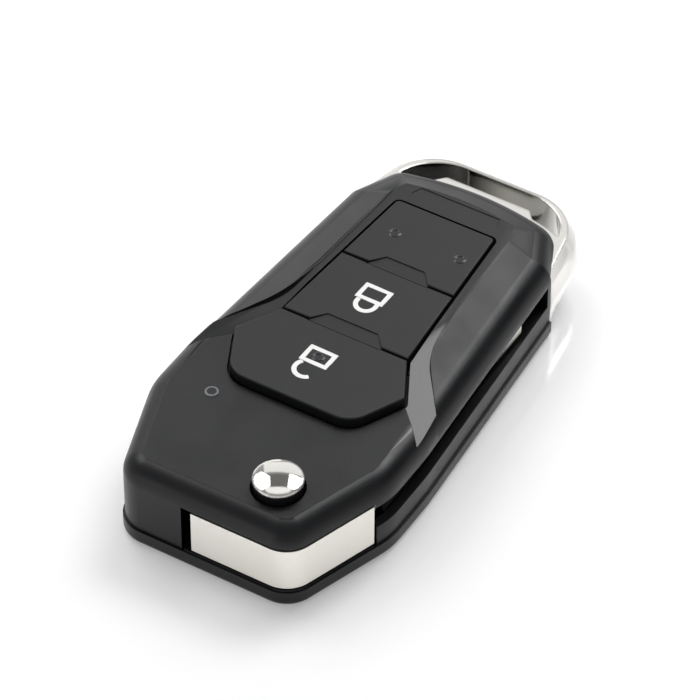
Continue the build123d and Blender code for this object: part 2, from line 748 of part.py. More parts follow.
# Key head: outer face flush with the case, hub round the pivot, and the neck that holds the blade
with BuildPart() as key_head:
    with BuildSketch(Plane.XY.offset(head_low_z)):
        with BuildLine():
            Polyline(
                (head_left_x, -far),
                (head_left_x, front_y + 2.4),
                (pivot[0] - hub_r, pivot[1]),
                (pivot[0], pivot[1] + hub_r),
                (neck_right_x - 2.0, pivot[1] + hub_r),
                (far, pivot[1] + hub_r),
                (far, -far),
                close=True,
            )
        make_face()
        with Locations(pivot):
            Circle(hub_r)
            Circle(head_reach, mode=Mode.INTERSECT)
        add(case_plan.sketch, mode=Mode.INTERSECT)
    extrude(amount=head_high_z - head_low_z)
    add(box_between((neck_left_x, neck_start_y, neck_low_z), (neck_right_x, neck_end_y, neck_high_z)))
    with BuildSketch(Plane.XY.offset(pocket_floor_z)):
        with Locations(pivot):
            Circle(pocket_r)
    extrude(amount=far, mode=Mode.SUBTRACT)
    with BuildSketch():
        with Locations(pivot):
            Circle(post_r + running_gap)
    extrude(amount=far, mode=Mode.SUBTRACT)
    tang_low = (tang_left_x, tang_end_y, blade_low_z)
    add(box_between(tang_low, (tang_right_x, neck_end_y, blade_high_z)), mode=Mode.SUBTRACT)
    with BuildSketch(Plane.XY.offset(neck_low_z)):
        with Locations(((tang_left_x + tang_right_x) / 2, pin_y)):
            Circle(pin_r)
    extrude(amount=neck_high_z - neck_low_z, mode=Mode.SUBTRACT)
key_head.part.label = "key_head"
export_step(key_head.part, "parts/key_head.step")

# Blade: tang in the neck, long groove in both faces, and a milled ledge along both edges
with BuildPart() as key_blade:
    with BuildSketch(Plane.XY.offset(blade_low_z)):
        with BuildLine():
            Polyline(
                (tang_left_x, tang_end_y),
                (tang_left_x, neck_end_y),
                (blade_left_x, neck_end_y),
                (blade_left_x, blade_tip_y - blade_tip_cut),
                (blade_left_x + blade_tip_cut, blade_tip_y),
                (blade_right_x - blade_tip_cut, blade_tip_y),
                (blade_right_x, blade_tip_y - blade_tip_cut),
                (blade_right_x, neck_end_y),
                (tang_right_x, neck_end_y),
                (tang_right_x, tang_end_y),
                close=True,
            )
        make_face()
        with Locations(((tang_left_x + tang_right_x) / 2, pin_y)):
            Circle(pin_r, mode=Mode.SUBTRACT)
    extrude(amount=blade_high_z - blade_low_z)
    groove_y = (neck_end_y + blade_tip_y) / 2
    for face_z in (blade_low_z, blade_high_z - fuller_depth):
        with BuildSketch(Plane.XY.offset(face_z)):
            with Locations((fuller_x, groove_y)):
                RectangleRounded(fuller_w, blade_tip_y - neck_end_y - 8.0, fuller_w / 2 - 0.05)
        extrude(amount=fuller_depth, mode=Mode.SUBTRACT)
key_blade.part.label = "key_blade"
export_step(key_blade.part, "parts/key_blade.step")

with BuildPart() as blade_pin:
    with BuildSketch(Plane.XY.offset(neck_low_z)):
        with Locations(((tang_left_x + tang_right_x) / 2, pin_y)):
            Circle(pin_r)
            Circle(pin_bore_r, mode=Mode.SUBTRACT)
    extrude(amount=neck_high_z - neck_low_z)
blade_pin.part.label = "blade_pin"
export_step(blade_pin.part, "parts/blade_pin.step")

# Spring between the head's pocket and the button's disc
spring_wire_r = 0.35
spring_r = 4.2
spring_turns = 4
spring_low_z = pocket_floor_z + spring_wire_r
spring_pitch = (disc_low_z - spring_wire_r - spring_low_z) / spring_turns
with BuildPart() as flip_spring:
    with BuildLine() as coil:
        Helix(spring_pitch, spring_pitch * spring_turns, spring_r, center=(*pivot, spring_low_z))
    with BuildSketch(Plane(origin=coil.line @ 0, z_dir=coil.line % 0)):
        RegularPolygon(spring_wire_r, 6)
    sweep(is_frenet=True)
flip_spring.part.label = "flip_spring"
export_step(flip_spring.part, "parts/flip_spring.step")

# Carrier: tray over the cell, with the blade's bay along its right side
with BuildSketch() as board_room:
    add(inner_plan.sketch)
    offset(amount=-carrier_gap)
    with Locations(pivot):
        Circle(bay_r + bay_wall + carrier_gap, mode=Mode.SUBTRACT)

with BuildPart() as inner_carrier:
    with BuildSketch(Plane.XY.offset(carrier_low_z)):
        add(board_room.sketch)
        add(band(board_front_y - 1.0, bay_end_y), mode=Mode.INTERSECT)
        with Locations(cell):
            Circle(cell_r - 1.5, mode=Mode.SUBTRACT)
        with Locations((cell[0], cell[1] - cell_r - strip_tail + strip_thick / 2)):
            Rectangle(strip_w + 0.4, 1.0, mode=Mode.SUBTRACT)
    extrude(amount=carrier_thick)
    with BuildSketch(Plane.XY.offset(floor_z)):
        with Locations(*carrier_legs):
            Circle(carrier_leg_r)
    extrude(amount=carrier_low_z - floor_z)
    with BuildSketch(Plane.XY.offset(board_low_z)):
        with Locations(*board_posts):
            Circle(board_post_r)
    extrude(amount=mat_low_z - board_low_z)
    with BuildSketch(Plane.XY.offset(bay_ceiling_z)):
        add(board_room.sketch)
        add(band(pivot[1], bay_end_y), mode=Mode.INTERSECT)
        with Locations((divider_x + far / 2, 0)):
            Rectangle(far, 2 * far, mode=Mode.INTERSECT)
    extrude(amount=mat_low_z - bay_ceiling_z)
    with BuildSketch(Plane.XY.offset(board_low_z)):
        add(board_room.sketch)
        add(band(pivot[1], bay_end_y), mode=Mode.INTERSECT)
        with Locations((divider_x + divider_thick / 2, 0)):
            Rectangle(divider_thick, 2 * far, mode=Mode.INTERSECT)
    extrude(amount=bay_ceiling_z - board_low_z)
    wall_front_y = bay_end_y - bay_end_thick
    add(box_between((divider_x, wall_front_y, board_low_z), (bay_end_x, bay_end_y, bay_ceiling_z)))
inner_carrier.part.label = "inner_carrier"
export_step(inner_carrier.part, "parts/inner_carrier.step")

with BuildPart() as keypad_mat:
    with BuildSketch(Plane.XY.offset(mat_low_z)):
        add(pad_plan.sketch)
        offset(amount=mat_margin)
    extrude(amount=mat_thick)
    for spot in (lock_switch_at, unlock_switch_at):
        with BuildSketch(Plane.XY.offset(mat_high_z)):
            with Locations(spot):
                Circle(dome_r)
        extrude(amount=dome_rise, taper=45)
keypad_mat.part.label = "keypad_mat"
export_step(keypad_mat.part, "parts/keypad_mat.step")

with BuildPart() as circuit_board:
    with BuildSketch(Plane.XY.offset(board_low_z)):
        add(board_room.sketch)
        add(band(board_front_y, board_rear_y), mode=Mode.INTERSECT)
        with Locations((board_right_x - far / 2, 0)):
            Rectangle(far, 2 * far, mode=Mode.INTERSECT)
        with Locations(*board_posts):
            Circle(board_post_r + running_gap, mode=Mode.SUBTRACT)
    extrude(amount=board_thick)
circuit_board.part.label = "circuit_board"
export_step(circuit_board.part, "parts/circuit_board.step")


def tact_switch(spot):
    """Returns a square switch on the board, with its round plunger just under the mat."""
    with BuildPart() as body:
        with BuildSketch(Plane.XY.offset(board_high_z)):
            with Locations(spot):
                RectangleRounded(switch_w, switch_w, 0.4)
        extrude(amount=switch_body)
        with BuildSketch(Plane.XY.offset(board_high_z + switch_body)):
            with Locations(spot):
                Circle(switch_plunger_r)
        extrude(amount=mat_low_z - running_gap - board_high_z - switch_body)
    return body.part


with BuildPart() as unlock_switch:
    add(tact_switch(unlock_switch_at))
unlock_switch.part.label = "unlock_switch"
export_step(unlock_switch.part, "parts/unlock_switch.step")

with BuildPart() as lock_switch:
    add(tact_switch(lock_switch_at))
lock_switch.part.label = "lock_switch"
export_step(lock_switch.part, "parts/lock_switch.step")

with BuildPart() as coin_cell:
    with BuildSketch(Plane.XY.offset(cell_low_z)):
        with Locations(cell):
            Circle(cell_r - 1.2)
    extrude(amount=0.4)
    with BuildSketch(Plane.XY.offset(cell_low_z + 0.4)):
        with Locations(cell):
            Circle(cell_r)
    extrude(amount=cell_thick - 0.4)
    chamfer(coin_cell.edges().group_by(Axis.Z)[-1], 0.3)
coin_cell.part.label = "coin_cell"
export_step(coin_cell.part, "parts/coin_cell.step")

# Sprung strips from the cell's two faces to the board
strip_left = cell[0] - strip_w / 2
strip_right = cell[0] + strip_w / 2
with BuildPart() as cell_contact_positive:
    rise_y = cell[1] + cell_r - strip_set_in
    strip_high_z = cell_high_z + strip_thick
    add(box_between((strip_left, cell[1] - strip_over, cell_high_z), (strip_right, rise_y, strip_high_z)))
    add(box_between((strip_left, rise_y - strip_thick, cell_high_z), (strip_right, rise_y, board_low_z)))
cell_contact_positive.part.label = "cell_contact_positive"
export_step(cell_contact_positive.part, "parts/cell_contact_positive.step")

with BuildPart() as cell_contact_negative:
    tail_y = cell[1] - cell_r - strip_tail
    add(box_between((strip_left, tail_y, floor_z), (strip_right, cell[1] + strip_over, cell_low_z)))
    add(box_between((strip_left, tail_y, floor_z), (strip_right, tail_y + strip_thick, board_low_z)))
cell_contact_negative.part.label = "cell_contact_negative"
export_step(cell_contact_negative.part, "parts/cell_contact_negative.step")

# Parts on the board
with BuildPart() as control_chip:
    with BuildSketch(Plane.XY.offset(board_high_z)):
        with Locations(chip_at):
            Rectangle(chip_w, chip_w)
    extrude(amount=chip_thick)
    chamfer(control_chip.edges().group_by(Axis.Z)[-1], 0.2)
control_chip.part.label = "control_chip"
export_step(control_chip.part, "parts/control_chip.step")

with BuildPart() as crystal:
    with BuildSketch(Plane.XY.offset(board_high_z)):
        with Locations(crystal_at):
            SlotOverall(crystal_long, crystal_w, rotation=90)
    extrude(amount=crystal_high)
    chamfer(crystal.edges().group_by(Axis.Z)[-1], 0.3)
crystal.part.label = "crystal"
export_step(crystal.part, "parts/crystal.step")

with BuildPart() as antenna_coil:
    with BuildSketch(Plane.XY.offset(board_high_z)):
        with Locations(coil_at):
            Rectangle(coil_long, coil_core_w)
            Rectangle(coil_winding_long, coil_winding_w)
    extrude(amount=coil_high)
antenna_coil.part.label = "antenna_coil"
export_step(antenna_coil.part, "parts/antenna_coil.step")

with BuildPart() as status_led:
    with BuildSketch(Plane.XY.offset(board_high_z)):
        with Locations(lens):
            Rectangle(lamp_w, lamp_w)
    extrude(amount=lamp_high)
    chamfer(status_led.edges().group_by(Axis.Z)[-1], 0.2)
status_led.part.label = "status_led"
export_step(status_led.part, "parts/status_led.step")
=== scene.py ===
import json
from math import cos, pi, radians, sin

import bmesh
import bpy
from mathutils import Matrix, Vector

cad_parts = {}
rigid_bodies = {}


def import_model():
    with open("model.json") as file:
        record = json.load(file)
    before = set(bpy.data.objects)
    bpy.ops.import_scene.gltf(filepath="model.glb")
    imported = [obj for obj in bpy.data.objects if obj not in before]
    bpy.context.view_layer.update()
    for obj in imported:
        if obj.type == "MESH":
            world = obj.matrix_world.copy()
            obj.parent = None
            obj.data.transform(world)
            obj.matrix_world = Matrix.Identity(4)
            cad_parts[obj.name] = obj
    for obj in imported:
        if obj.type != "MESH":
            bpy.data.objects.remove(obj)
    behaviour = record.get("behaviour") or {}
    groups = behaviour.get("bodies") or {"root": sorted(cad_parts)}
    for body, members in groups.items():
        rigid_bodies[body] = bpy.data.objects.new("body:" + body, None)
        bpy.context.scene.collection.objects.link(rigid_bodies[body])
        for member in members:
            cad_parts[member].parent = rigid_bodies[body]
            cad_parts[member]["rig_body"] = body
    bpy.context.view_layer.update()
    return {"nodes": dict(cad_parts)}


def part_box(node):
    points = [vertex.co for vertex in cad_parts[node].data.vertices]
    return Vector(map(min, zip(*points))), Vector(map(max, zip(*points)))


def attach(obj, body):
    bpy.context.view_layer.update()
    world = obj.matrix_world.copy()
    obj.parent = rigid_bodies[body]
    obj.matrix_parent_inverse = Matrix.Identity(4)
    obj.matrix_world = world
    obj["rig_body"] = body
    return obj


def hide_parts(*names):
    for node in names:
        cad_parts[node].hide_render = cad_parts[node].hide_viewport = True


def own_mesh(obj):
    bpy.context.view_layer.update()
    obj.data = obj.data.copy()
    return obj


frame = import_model()
bpy.ops.object.select_all(action="DESELECT")
MM = 0.001


# Camera, at the place from which the photograph was taken
def place_camera():
    """Adds the camera: a long lens, from the front right, about 44 degrees up."""
    azimuth, elevation, roll = 0.5457, 0.7622, 0.0021
    aim_mm, distance_mm = Vector((-2.0325, 1.4392, 7.296)), 651.777
    back = Vector((sin(azimuth) * cos(elevation), -cos(azimuth) * cos(elevation), sin(elevation)))
    right = Vector((cos(azimuth), sin(azimuth), 0))
    up = back.cross(right)
    right, up = right * cos(roll) + up * sin(roll), up * cos(roll) - right * sin(roll)
    place = aim_mm * MM + back * distance_mm * MM
    lens = bpy.data.cameras.new("camera")
    lens.sensor_width = 36
    lens.lens = 237.63
    lens.clip_start = 50 * MM
    camera = bpy.data.objects.new("camera", lens)
    camera.matrix_world = Matrix.Translation(place) @ Matrix((right, up, back)).transposed().to_4x4()
    bpy.context.scene.collection.objects.link(camera)
    bpy.context.scene.camera = camera


# Finishes
def linear(hex_colour):
    """Turns an sRGB hex colour into the linear colour that a shader's socket takes."""
    channels = [int(hex_colour[i:i + 2], 16) / 255 for i in (1, 3, 5)]
    opaque = 1.0
    return [c / 12.92 if c <= 0.04045 else ((c + 0.055) / 1.055) ** 2.4 for c in channels] + [opaque]


def add_node(tree, kind, inputs=None, **settings):
    """Adds a node with its settings. An input is a value, or the output of a node that it is linked to."""
    node = tree.nodes.new(kind)
    for name, value in settings.items():
        setattr(node, name, value)
    for name, value in (inputs or {}).items():
        if isinstance(value, bpy.types.NodeSocket):
            tree.links.new(value, node.inputs[name])
        else:
            node.inputs[name].default_value = value
    return node


def start_finish(name, colour, roughness, metallic=0.0, **more):
    """Returns a new material, its node tree, its shader and its Object coordinates."""
    material = bpy.data.materials.new(name)
    material.use_nodes = True
    tree = material.node_tree
    shader = tree.nodes["Principled BSDF"]
    shader.inputs["Base Color"].default_value = linear(colour)
    shader.inputs["Roughness"].default_value = roughness
    shader.inputs["Metallic"].default_value = metallic
    for socket, value in more.items():
        shader.inputs[socket.replace("_", " ")].default_value = value
    return material, tree, shader, tree.nodes.new("ShaderNodeTexCoord").outputs["Object"]


def moulded_plastic(name, colour, grain_mm, grain_depth_mm, roughness, spread=0.06):
    """Plastic or rubber with the fine grain of its mould, dull edges, and a sheen that wanders a little."""
    material, tree, shader, place = start_finish(name, colour, roughness, Specular_IOR_Level=0.33)
    dull_edge_mm, sheen_mm = 0.1, 6
    grain = add_node(tree, "ShaderNodeTexNoise", {
        "Vector": place, "Scale": 1 / (grain_mm * MM), "Detail": 2.0, "Roughness": 0.6})
    edges = add_node(tree, "ShaderNodeBevel", {"Radius": dull_edge_mm * MM}, samples=6)
    bump = add_node(tree, "ShaderNodeBump", {
        "Height": grain.outputs["Fac"], "Distance": grain_depth_mm * MM, "Strength": 1.0,
        "Normal": edges.outputs["Normal"]})
    tree.links.new(bump.outputs["Normal"], shader.inputs["Normal"])
    sheen = add_node(tree, "ShaderNodeTexNoise", {
        "Vector": place, "Scale": 1 / (sheen_mm * MM), "Detail": 3.0})
    level = add_node(tree, "ShaderNodeMapRange", {
        "Value": sheen.outputs["Fac"], "From Min": 0.3, "From Max": 0.7,
        "To Min": roughness - spread / 2, "To Max": roughness + spread / 2})
    tree.links.new(level.outputs["Result"], shader.inputs["Roughness"])
    return material


def metal(name, colour, roughness, ripple_mm, drawn=(1, 1, 1), grain_mm=2.0, edge_mm=0.05):
    """Metal whose sheen and surface wander a little, and turn softly over each edge.

    A drawn, brushed or milled one has its grain stretched one way.
    """
    material, tree, shader, place = start_finish(name, colour, roughness, metallic=1.0)
    lay = add_node(tree, "ShaderNodeMapping", {"Vector": place, "Scale": drawn})
    haze = add_node(tree, "ShaderNodeTexNoise", {
        "Vector": lay.outputs["Vector"], "Scale": 1 / (grain_mm * MM), "Detail": 4.0})
    level = add_node(tree, "ShaderNodeMapRange", {
        "Value": haze.outputs["Fac"], "From Min": 0.3, "From Max": 0.7,
        "To Min": roughness * 0.8, "To Max": roughness * 1.3})
    tree.links.new(level.outputs["Result"], shader.inputs["Roughness"])
    edges = add_node(tree, "ShaderNodeBevel", {"Radius": edge_mm * MM}, samples=6)
    bump = add_node(tree, "ShaderNodeBump", {
        "Height": haze.outputs["Fac"], "Distance": ripple_mm * MM, "Strength": 1.0,
        "Normal": edges.outputs["Normal"]})
    tree.links.new(bump.outputs["Normal"], shader.inputs["Normal"])
    return material


# Moulded black ABS off a spark-eroded mould: a soft grey sheen with a fine leathery grain, 0.35 mm
case_plastic = moulded_plastic("black_abs_eroded_grain", "#131416", 0.35, 0.014, 0.36, 0.08)
# The caps come off a finer mould: darker and more even than the case
cap_plastic = moulded_plastic("black_abs_fine_grain", "#111214", 0.25, 0.006, 0.45)
# The facets come off a polished part of the mould: clear reflections, as on piano lacquer
facet_plastic = moulded_plastic("black_abs_polished", "#131416", 3.0, 0.004, 0.16, 0.03)
# The pips: a little lighter than the cap, and glossy
pip_plastic = moulded_plastic("black_abs_lighter_glossy", "#2C2D2F", 3.0, 0.002, 0.14, 0.03)
# White pad print: a matte film of ink, a little uneven at its surface
pad_print = moulded_plastic("white_pad_print", "#F2F2F0", 0.2, 0.002, 0.5)
# Chromium plated on ABS: mirror bright, with the slight wave of the moulding under it
chrome = metal("bright_chrome_on_abs", "#D8D6D1", 0.035, 0.0015, grain_mm=6.0, edge_mm=0.6)
# Satin nickel on a zinc die casting, blasted before it is plated: even, warm and off-white
satin_nickel = metal("satin_nickel_on_zinc", "#F6F3EB", 0.40, 0.0015, grain_mm=0.5)
# Nickel silver, milled along the blade: lines from end to end, coarser than the real 0.05 mm, to be seen
blade_nickel = metal("milled_nickel_silver", "#D6D3CB", 0.28, 0.0012, drawn=(1, 0.04, 1), grain_mm=0.25)
# Bright drawn steel of the pin, the spring and the contacts: an even, fine haze
spring_steel = metal("spring_steel_wire", "#A9ABAE", 0.25, 0.001, grain_mm=0.4)
# Stainless can of the cell and the crystal: a soft bright grey, with faint lines from drawing
cell_can = metal("stainless_can", "#C4C6C8", 0.3, 0.001, drawn=(0.2, 1, 1), grain_mm=0.5)
# ABS of the carrier, off a plain mould: dull dark grey
carrier_plastic = moulded_plastic("grey_abs_carrier", "#26282B", 0.4, 0.005, 0.55)
# Silicone of the mat: soft, dusty and grey
mat_rubber = moulded_plastic("grey_silicone_rubber", "#6A6D72", 0.4, 0.003, 0.6)
# Epoxy body of the chip: dull black with a coarse grain
chip_resin = moulded_plastic("black_epoxy_resin", "#1A1A1C", 0.3, 0.004, 0.6)
# Cast resin of the status light: red and glossy
led_resin = moulded_plastic("red_led_resin", "#A83A30", 0.4, 0.001, 0.2)


# A Mix node has sockets of one name for each kind of value. These are the places of its colours
MIX_A, MIX_B, MIX_RESULT = 6, 7, 2


def smoky_lens_painted_highlight():
    """Smoky polycarbonate of the light guide: glassy, with a dark middle inside a painted highlight on its
    rim.
    """
    material, tree, shader, place = start_finish(
        "smoky_polycarbonate_painted_rim_highlight", "#3A3C3F", 0.1, Transmission_Weight=0.3, IOR=1.585)
    # The lighter rim is a painted highlight; the middle keeps the lens's own smoky colour
    middle_r_mm, painted_highlight_r_mm = 0.62, 0.78
    low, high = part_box("indicator_lens")
    from_axis = add_node(tree, "ShaderNodeMapping", {
        "Vector": place, "Location": (-(low.x + high.x) / 2, -(low.y + high.y) / 2, 0), "Scale": (1, 1, 0)})
    distance = add_node(tree, "ShaderNodeVectorMath", {0: from_axis.outputs["Vector"]}, operation="LENGTH")
    rim = add_node(tree, "ShaderNodeMapRange", {
        "Value": distance.outputs["Value"], "From Min": middle_r_mm * MM, "From Max": painted_highlight_r_mm * MM})
    shade = add_node(tree, "ShaderNodeMix", {
        "Factor": rim.outputs["Result"], MIX_A: linear("#3A3C3E"), MIX_B: linear("#8E9194")},
        data_type="RGBA")
    tree.links.new(shade.outputs[MIX_RESULT], shader.inputs["Base Color"])
    return material


def make_painted_reflection_chrome():
    """Chromium in the window: smoky, with a painted dark reflection, nearly black towards the left corner."""
    material = metal("chrome_in_window_painted_reflection", "#B4B3AF", 0.1, 0.004, grain_mm=3.0, edge_mm=0.3)
    # Painted reflection: the base colour runs from dark at the left to bright, across x in mm
    painted_dark_to_x_mm, painted_bright_from_x_mm = -9, 1
    tree = material.node_tree
    parts = add_node(tree, "ShaderNodeSeparateXYZ", {
        "Vector": tree.nodes["Texture Coordinate"].outputs["Object"]})
    across = add_node(tree, "ShaderNodeMapRange", {
        "Value": parts.outputs["X"], "From Min": painted_dark_to_x_mm * MM, "From Max": painted_bright_from_x_mm * MM},
        interpolation_type="SMOOTHSTEP")
    shade = add_node(tree, "ShaderNodeMix", {
        "Factor": across.outputs["Result"], MIX_A: linear("#2C2C2C"), MIX_B: linear("#B8B7B2")},
        data_type="RGBA")
    tree.links.new(shade.outputs[MIX_RESULT], tree.nodes["Principled BSDF"].inputs["Base Color"])
    return material


def printed_board():
    """Glass epoxy board: green solder mask, with the lighter green of the copper tracks that run under it."""
    material, tree, shader, place = start_finish("green_solder_mask", "#1F5B34", 0.3)
    pattern_mm, copper_mm = 4, 0.03
    tracks = add_node(tree, "ShaderNodeTexBrick", {
        "Vector": place, "Scale": 1 / (pattern_mm * MM), "Color1": linear("#1B5530"),
        "Color2": linear("#174A2A"), "Mortar": linear("#3B8A55"), "Mortar Size": 0.03, "Brick Width": 0.9,
        "Row Height": 0.35})
    tree.links.new(tracks.outputs["Color"], shader.inputs["Base Color"])
    bump = add_node(tree, "ShaderNodeBump", {
        "Height": tracks.outputs["Fac"], "Distance": copper_mm * MM, "Strength": 1.0})
    tree.links.new(bump.outputs["Normal"], shader.inputs["Normal"])
    return material


def wound_coil():
    """Enamelled copper wire, wound side by side: bright ridges across the coil, about 1.26 mm apart."""
    material, tree, shader, place = start_finish("enamelled_copper_winding", "#9A5A34", 0.35, metallic=1.0)
    ridge_mm = 0.06
    bands = 250  # a Wave texture repeats every pi / 10 m at a scale of 1
    turns = add_node(tree, "ShaderNodeTexWave", {
        "Vector": place, "Scale": bands, "Distortion": 0.3}, bands_direction="X")
    bump = add_node(tree, "ShaderNodeBump", {
        "Height": turns.outputs["Fac"], "Distance": ridge_mm * MM, "Strength": 1.0})
    tree.links.new(bump.outputs["Normal"], shader.inputs["Normal"])
    shade = add_node(tree, "ShaderNodeMapRange", {
        "Value": turns.outputs["Fac"], "To Min": 0.5, "To Max": 0.3})
    tree.links.new(shade.outputs["Result"], shader.inputs["Roughness"])
    return material


# The window's chrome, with a painted dark reflection
painted_reflection_chrome = make_painted_reflection_chrome()
# The light guide's finish, with a painted highlight on its rim
lens_painted_highlight_plastic = smoky_lens_painted_highlight()
board_resin = printed_board()
copper_winding = wound_coil()
# Steel cover of the tact switches: thin pressed sheet, fairly bright
switch_steel = metal("pressed_switch_cover", "#B4B6B8", 0.35, 0.001, grain_mm=0.4)

# The finish of each CAD node, also of those that a finished piece stands for below
finishes = {
    "front_cover": case_plastic, "back_cover": case_plastic, "loop_frame": chrome, "blank_panel": cap_plastic,
    "lock_button": cap_plastic, "unlock_button": cap_plastic, "indicator_lens": lens_painted_highlight_plastic,
    "release_button": chrome, "button_core": case_plastic, "key_head": satin_nickel,
    "key_blade": blade_nickel, "blade_pin": spring_steel, "flip_spring": spring_steel,
    "inner_carrier": carrier_plastic, "keypad_mat": mat_rubber, "circuit_board": board_resin,
    "unlock_switch": switch_steel, "lock_switch": switch_steel, "coin_cell": cell_can,
    "cell_contact_positive": spring_steel, "cell_contact_negative": spring_steel,
    "control_chip": chip_resin, "crystal": cell_can, "antenna_coil": copper_winding,
    "status_led": led_resin,
}
for node, finish in finishes.items():
    mesh = frame["nodes"][node].data
    mesh.materials.clear()
    mesh.materials.append(finish)


# CAD nodes with fine rounded edges
def edit(piece):
    """Makes a piece the only one that operators act on, and opens it for editing with nothing selected."""
    bpy.ops.object.select_all(action="DESELECT")
    bpy.context.view_layer.objects.active = piece
    piece.select_set(True)
    bpy.ops.object.mode_set(mode="EDIT")
    bpy.ops.mesh.select_all(action="DESELECT")


def mean_width(face):
    """Returns about how wide a face is across its narrow way."""
    shortest_outline = 0.001 * MM
    outline = sum(edge.calc_length() for edge in face.edges)
    return 2 * face.calc_area() / max(outline, shortest_outline)


def merged_copy(node):
    """Makes a copy of a CAD node with its flat faces merged, which stands for the node and moves with it."""
    same_place, same_plane = 0.002 * MM, radians(0.4)
    source = frame["nodes"][node]
    piece = bpy.data.objects.new(node + "_finished", source.data.copy())
    bpy.context.scene.collection.objects.link(piece)
    edit(piece)
    bpy.ops.mesh.customdata_custom_splitnormals_clear()
    bpy.ops.mesh.select_all(action="SELECT")
    bpy.ops.mesh.remove_doubles(threshold=same_place)
    bpy.ops.mesh.dissolve_limited(angle_limit=same_plane)
    bpy.ops.object.mode_set(mode="OBJECT")
    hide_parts(node)
    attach(piece, source["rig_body"])
    return piece


def round_edges(piece, width_mm, segments=2):
    """Rounds a piece's edges finely, shades it smooth and keeps its shallow creases crisp."""
    broad_face = 0.9 * MM
    least_crease, least_crease_beside_strips, least_edge = radians(4.8), radians(6.5), radians(32)
    edit(piece)
    bpy.ops.mesh.select_all(action="SELECT")
    bpy.ops.mesh.faces_shade_smooth()
    bpy.ops.mesh.select_all(action="DESELECT")
    # A shallow crease has a broad face beside it, and turns more than the strips of a rounding do
    mesh = bmesh.from_edit_mesh(piece.data)
    for edge in mesh.edges:
        turn = edge.calc_face_angle(0)
        widths = [mean_width(face) for face in edge.link_faces]
        crease = min(widths) > broad_face or (max(widths) > broad_face and turn > least_crease_beside_strips)
        edge.smooth = not (least_crease < turn < least_edge and crease)
    bmesh.update_edit_mesh(piece.data)
    bpy.ops.object.mode_set(mode="OBJECT")
    bevel = piece.modifiers.new("edges", "BEVEL")
    bevel.width = width_mm * MM
    bevel.segments = segments
    bevel.limit_method = "ANGLE"
    bevel.angle_limit = least_edge
    bevel.use_clamp_overlap = True
    normals = piece.modifiers.new("normals", "WEIGHTED_NORMAL")
    normals.keep_sharp = True
    for modifier in ("edges", "normals"):
        bpy.ops.object.modifier_apply(modifier=modifier)


def refinish(piece, finish, test):
    """Gives another finish to the faces whose middle in mm and normal pass a test."""
    piece.data.materials.append(finish)
    for face in piece.data.polygons:
        if test(face.center / MM, face.normal):
            face.material_index = len(piece.data.materials) - 1


def in_window(middle, normal):
    """Tells whether a face of the chrome frame, with its middle in mm, is a wall of the key-ring window."""
    half_length, near_y, far_y, middle_y = 13.6, 33, 40.2, 38.2
    upright = abs(normal.z) < 0.6
    faces_inwards = normal.dot(Vector((-middle.x, middle_y - middle.y, 0))) > 0
    return upright and abs(middle.x) < half_length and near_y < middle.y < far_y and faces_inwards


def in_facet(middle, normal, side):
    """Tells whether a face of the front cover is in the facet of its right (1) or left (-1) shoulder."""
    facet_normal = Vector((side * 0.1787, -0.0428, 0.983))
    on_shoulder = 9 < side * middle.x < 20 and -18.5 < middle.y < 7.6
    return on_shoulder and normal.angle(facet_normal) < radians(3)


def turn_button():
    """Turns the release button's cap: a short wall, a rounded rim and a crown that rises in rings."""
    crown_r = 13 * MM
    inner_rings_mm = (3.2, 2.7, 2.2, 1.7, 1.2, 0.7, 0.3)
    low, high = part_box("release_button")
    radius = (high.x - low.x) / 2
    rings = [radius] + [ring * MM for ring in inner_rings_mm]
    rise = [high.z - r * r / (2 * crown_r) for r in rings]
    middle = (low + high) / 2
    bpy.ops.mesh.primitive_circle_add(
        vertices=72, radius=radius, fill_type="NGON", location=(middle.x, middle.y, low.z))
    piece = bpy.context.object
    piece.name = "release_button_crowned"
    piece.data.materials.append(chrome)
    edit(piece)
    bpy.ops.mesh.select_all(action="SELECT")
    bpy.ops.mesh.extrude_region_move(TRANSFORM_OT_translate={"value": (0, 0, rise[0] - low.z)})
    for i in range(1, len(rings)):
        bpy.ops.mesh.inset(thickness=rings[i - 1] - rings[i], depth=rise[i] - rise[i - 1])
    bpy.ops.object.mode_set(mode="OBJECT")
    bpy.ops.object.transform_apply(location=True, rotation=True, scale=True)
    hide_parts("release_button")
    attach(piece, "release")
    round_edges(piece, 0.2, 4)


case_front = merged_copy("front_cover")
round_edges(case_front, 0.12)
for side in (1, -1):
    refinish(case_front, facet_plastic, lambda middle, normal: in_facet(middle, normal, side))
round_edges(merged_copy("back_cover"), 0.15)
key_ring_frame = merged_copy("loop_frame")
# The window's walls get the chrome with the painted dark reflection
refinish(key_ring_frame, painted_reflection_chrome, in_window)
round_edges(key_ring_frame, 0.3, 4)
for node in ("blank_panel", "lock_button", "unlock_button", "key_blade"):
    round_edges(merged_copy(node), 0.1)
round_edges(merged_copy("key_head"), 0.12)
turn_button()
round_edges(merged_copy("indicator_lens"), 0.12, 3)

# The spring is copied with a mesh of its own; the button's travel is 1.2 mm
spring_coil = merged_copy("flip_spring")
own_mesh(spring_coil)


# Marks on the caps, whose tops lie at one height
CAP_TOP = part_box("lock_button")[1][2]


def new_piece(name, finish, body):
    """Names the primitive that was just added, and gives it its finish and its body."""
    piece = bpy.context.object
    piece.name = name
    piece.data.materials.append(finish)
    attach(piece, body)
    return piece


def select_where(piece, test):
    """Selects the vertices of a piece in edit mode that pass a test of their place in mm, and no others."""
    bpy.ops.mesh.select_all(action="DESELECT")
    mesh = bmesh.from_edit_mesh(piece.data)
    for vertex in mesh.verts:
        vertex.select = test(piece.matrix_world @ vertex.co / MM)
    mesh.select_flush(True)
    bmesh.update_edit_mesh(piece.data)


